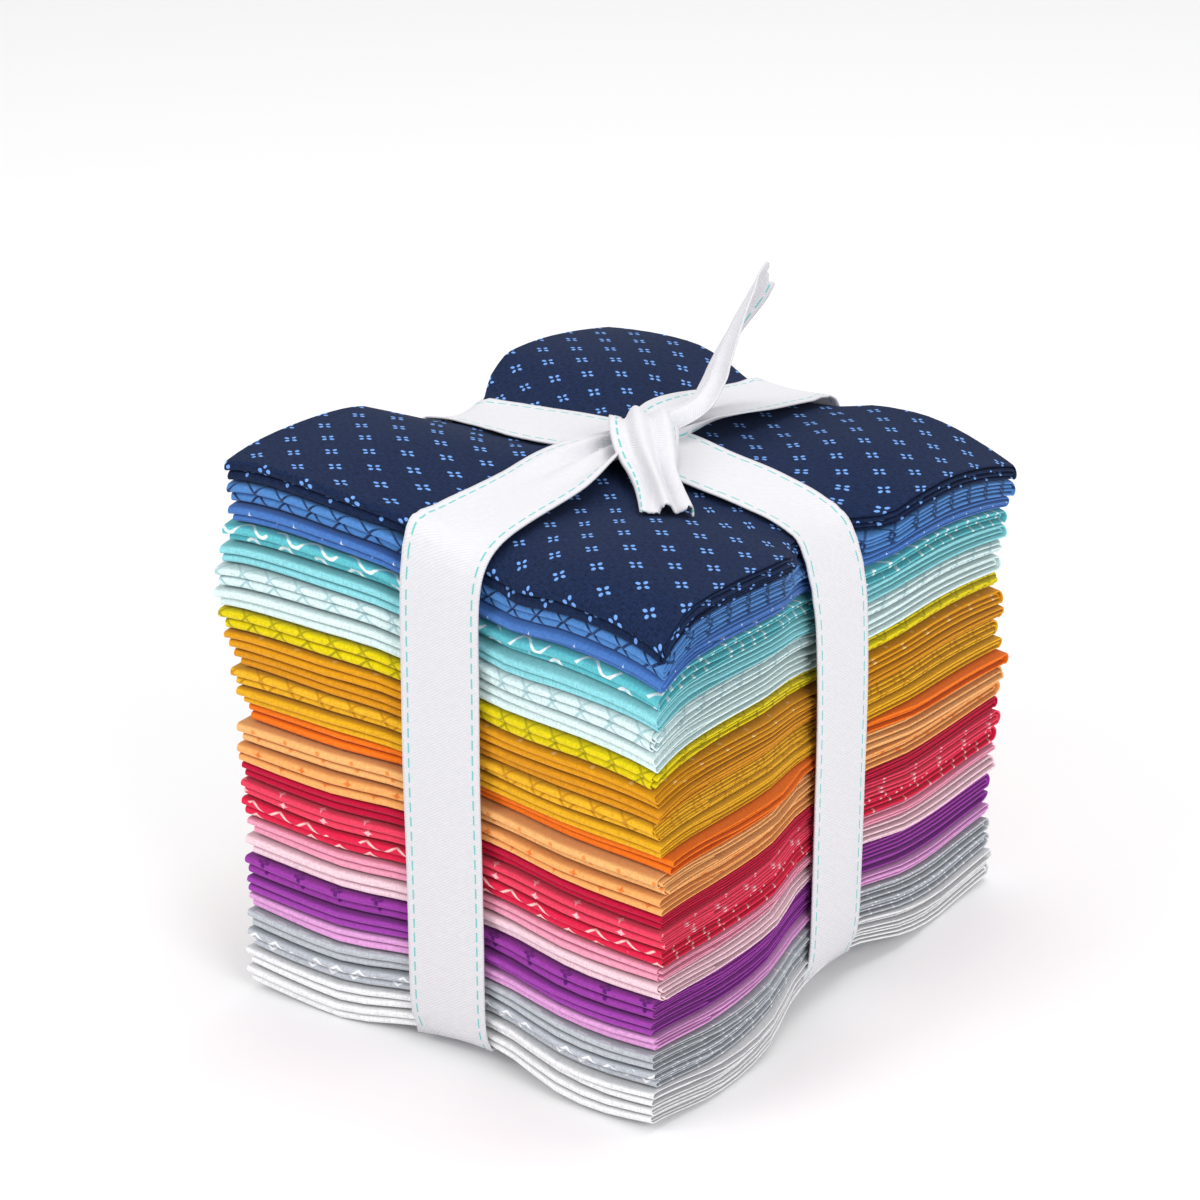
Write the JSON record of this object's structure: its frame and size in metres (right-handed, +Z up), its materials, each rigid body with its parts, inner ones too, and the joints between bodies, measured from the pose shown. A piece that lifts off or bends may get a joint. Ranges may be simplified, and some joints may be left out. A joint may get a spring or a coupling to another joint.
{
  "type": "fat quarter bundle",
  "caption": "Stack of folded cotton quilting cloths in rainbow order, tied both ways with one cotton tape knotted on top.",
  "frame": {"origin": "centre of the bounding box at the level of the surface that the bundle rests on", "axes": "+Z up through the stack, -Y towards the side where each cloth shows its folded edge, +X towards the side where the ends of the folded plies show"},
  "size_m": [0.143, 0.1792, 0.1869],
  "materials": {
    "navy_foulard": "matte",
    "blue_trellis": "matte",
    "blue_stars": "matte",
    "aqua_ripple": "matte",
    "pale_aqua": "matte",
    "mint_trellis": "matte",
    "mint_plain": "matte",
    "yellow_trellis": "matte",
    "amber_dots": "matte",
    "amber_plain": "matte",
    "gold_trellis": "matte",
    "gold_plain": "matte",
    "bright_orange": "matte",
    "peach_dots": "matte",
    "peach_stars": "matte",
    "crimson": "matte",
    "coral_stars": "matte",
    "red_trellis": "matte",
    "pink": "matte",
    "pale_pink": "matte",
    "purple_blossoms": "matte",
    "purple_plain": "matte",
    "orchid": "matte",
    "grey_dashes": "matte",
    "grey_trellis": "matte",
    "white_dots": "matte",
    "white_plain": "matte",
    "cotton_tape": "matte"
  },
  "bodies": {
    "root": {"cloth_navy_foulard": "navy_foulard", "cloth_blue_trellis": "blue_trellis", "cloth_blue_stars": "blue_stars", "cloth_aqua_ripple": "aqua_ripple", "cloth_pale_aqua": "pale_aqua", "cloth_mint_trellis": "mint_trellis", "cloth_mint_plain": "mint_plain", "cloth_yellow_trellis": "yellow_trellis", "cloth_amber_dots": "amber_dots", "cloth_amber_plain": "amber_plain", "cloth_gold_trellis": "gold_trellis", "cloth_gold_plain": "gold_plain", "cloth_bright_orange": "bright_orange", "cloth_peach_dots": "peach_dots", "cloth_peach_stars": "peach_stars", "cloth_crimson": "crimson", "cloth_coral_stars": "coral_stars", "cloth_red_trellis": "red_trellis", "cloth_pink": "pink", "cloth_pale_pink": "pale_pink", "cloth_purple_blossoms": "purple_blossoms", "cloth_purple_plain": "purple_plain", "cloth_orchid": "orchid", "cloth_grey_dashes": "grey_dashes", "cloth_grey_trellis": "grey_trellis", "cloth_white_dots": "white_dots", "cloth_white_plain": "white_plain", "tie_tape": "cotton_tape"}
  },
  "joints": []
}
